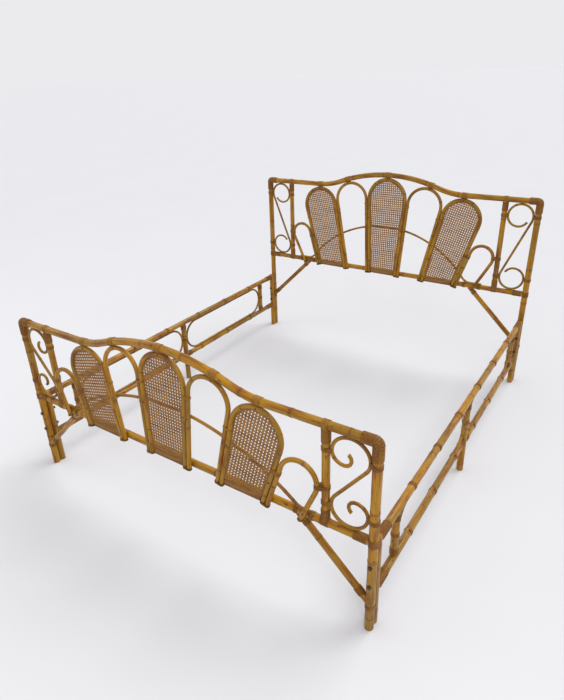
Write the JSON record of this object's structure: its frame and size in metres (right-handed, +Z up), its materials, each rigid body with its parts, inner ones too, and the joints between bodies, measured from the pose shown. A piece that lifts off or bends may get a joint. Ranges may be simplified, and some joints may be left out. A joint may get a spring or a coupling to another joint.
{
  "type": "double bed frame",
  "caption": "Double bed frame of bound canes, with arched head and foot boards, woven cane panels, scrolls and looped side frames.",
  "frame": {"origin": "on the floor, midway between the axes of the corner posts", "axes": "+X across the bed, to the right seen from the foot; +Y from the foot board to the head board; +Z up"},
  "size_m": [1.741, 2.0175, 1.16],
  "materials": {
    "cane_pole": "satin varnish",
    "thin_rod": "satin varnish",
    "cane_binding": "satin varnish",
    "cane_webbing": "satin varnish",
    "bolt_steel": "aged"
  },
  "bodies": {
    "root": {"foot_arc_rod": "thin_rod", "foot_bindings": "cane_binding", "foot_brace_left": "cane_pole", "foot_brace_right": "cane_pole", "foot_centre_arch": "cane_pole", "foot_centre_cane": "cane_webbing", "foot_lower_rail": "cane_pole", "foot_open_arch_left": "cane_pole", "foot_open_arch_right": "cane_pole", "foot_post_left": "cane_pole", "foot_post_right": "cane_pole", "foot_scroll_left": "thin_rod", "foot_scroll_right": "thin_rod", "foot_side_arch_left": "cane_pole", "foot_side_arch_right": "cane_pole", "foot_side_cane_left": "cane_webbing", "foot_side_cane_right": "cane_webbing", "foot_small_arch_left": "cane_pole", "foot_small_arch_right": "cane_pole", "foot_stile_left": "cane_pole", "foot_stile_right": "cane_pole", "foot_top_rail": "cane_pole", "frame_bolts": "bolt_steel", "frame_nuts": "bolt_steel", "head_arc_rod": "thin_rod", "head_bindings": "cane_binding", "head_brace_left": "cane_pole", "head_brace_right": "cane_pole", "head_centre_arch": "cane_pole", "head_centre_cane": "cane_webbing", "head_lower_rail": "cane_pole", "head_open_arch_left": "cane_pole", "head_open_arch_right": "cane_pole", "head_post_left": "cane_pole", "head_post_right": "cane_pole", "head_scroll_left": "thin_rod", "head_scroll_right": "thin_rod", "head_side_arch_left": "cane_pole", "head_side_arch_right": "cane_pole", "head_side_cane_left": "cane_webbing", "head_side_cane_right": "cane_webbing", "head_small_arch_left": "cane_pole", "head_small_arch_right": "cane_pole", "head_stile_left": "cane_pole", "head_stile_right": "cane_pole", "head_top_rail": "cane_pole", "left_end_uprights": "cane_pole", "left_inner_uprights": "cane_pole", "left_middle_leg": "cane_pole", "left_side_bindings": "cane_binding", "left_side_loops": "thin_rod", "left_side_lower_rails": "cane_pole", "left_side_top_rail": "cane_pole", "right_end_uprights": "cane_pole", "right_inner_uprights": "cane_pole", "right_middle_leg": "cane_pole", "right_side_bindings": "cane_binding", "right_side_loops": "thin_rod", "right_side_lower_rails": "cane_pole", "right_side_top_rail": "cane_pole"}
  },
  "joints": []
}
